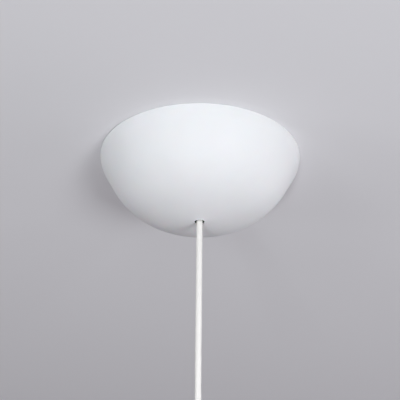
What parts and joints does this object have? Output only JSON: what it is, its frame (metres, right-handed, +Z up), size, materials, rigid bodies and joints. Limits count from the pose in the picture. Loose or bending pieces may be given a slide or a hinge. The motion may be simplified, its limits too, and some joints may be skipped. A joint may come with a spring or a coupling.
{
  "type": "electrical ceiling rose",
  "caption": "Domed ceiling cup that slides up a round pendant cord over a ceiling plate with cord grip and terminal block.",
  "frame": {"origin": "centre of the cup's rim on the ceiling plane, midway between the two ceiling screw slots", "axes": "+Z straight up into the ceiling, the cord hangs along -Z, +X through the two screw slots, -Y towards the terminal block and the viewer of the picture"},
  "size_m": [0.2, 0.2, 0.295],
  "materials": {
    "cup_plastic": "satin",
    "cord_sheath": "satin",
    "bush_rubber": "matte",
    "zinc_steel": "bright zinc plate",
    "grip_nylon": "satin",
    "housing_plastic": "satin",
    "terminal_brass": "satin",
    "core_brown": "gloss",
    "core_blue": "gloss",
    "core_earth": "gloss",
    "tinned_copper": "satin"
  },
  "bodies": {
    "ceiling_mount": {"ceiling_plate": "zinc_steel", "supply_grommet": "bush_rubber", "cord_bridge": "zinc_steel", "bridge_rivets": "zinc_steel", "gland_body": "grip_nylon", "gland_locknut": "grip_nylon", "gland_sleeve": "bush_rubber", "gland_nut": "grip_nylon", "terminal_housing": "housing_plastic", "live_terminal": "terminal_brass", "earth_terminal": "terminal_brass", "neutral_terminal": "terminal_brass", "terminal_screws": "zinc_steel", "housing_screws": "zinc_steel", "earth_screw": "terminal_brass", "earth_washer": "zinc_steel", "earth_lug": "tinned_copper", "earth_link": "core_earth", "brown_core": "core_brown", "blue_core": "core_blue", "earth_core": "core_earth", "core_ferrules": "tinned_copper", "cord": "cord_sheath", "cord_end_sleeve": "cord_sheath", "lamp_end_brown": "core_brown", "lamp_end_blue": "core_blue", "lamp_end_earth": "core_earth", "lamp_end_ferrules": "tinned_copper"},
    "cord_grip": {"cord_grip_bush": "bush_rubber"},
    "ceiling_cup": {"cup": "cup_plastic", "bush_retainer": "grip_nylon"}
  },
  "joints": [
    {"name": "cup_slide", "type": "slide", "parent": "ceiling_mount", "child": "cord_grip", "axis": [0, 0, -1], "range_m": [0, 0.15]},
    {"name": "cup_spin", "type": "hinge", "parent": "cord_grip", "child": "ceiling_cup", "pos_m": [0, 0, -0.065], "axis": [0, 0, 1], "continuous": true}
  ]
}
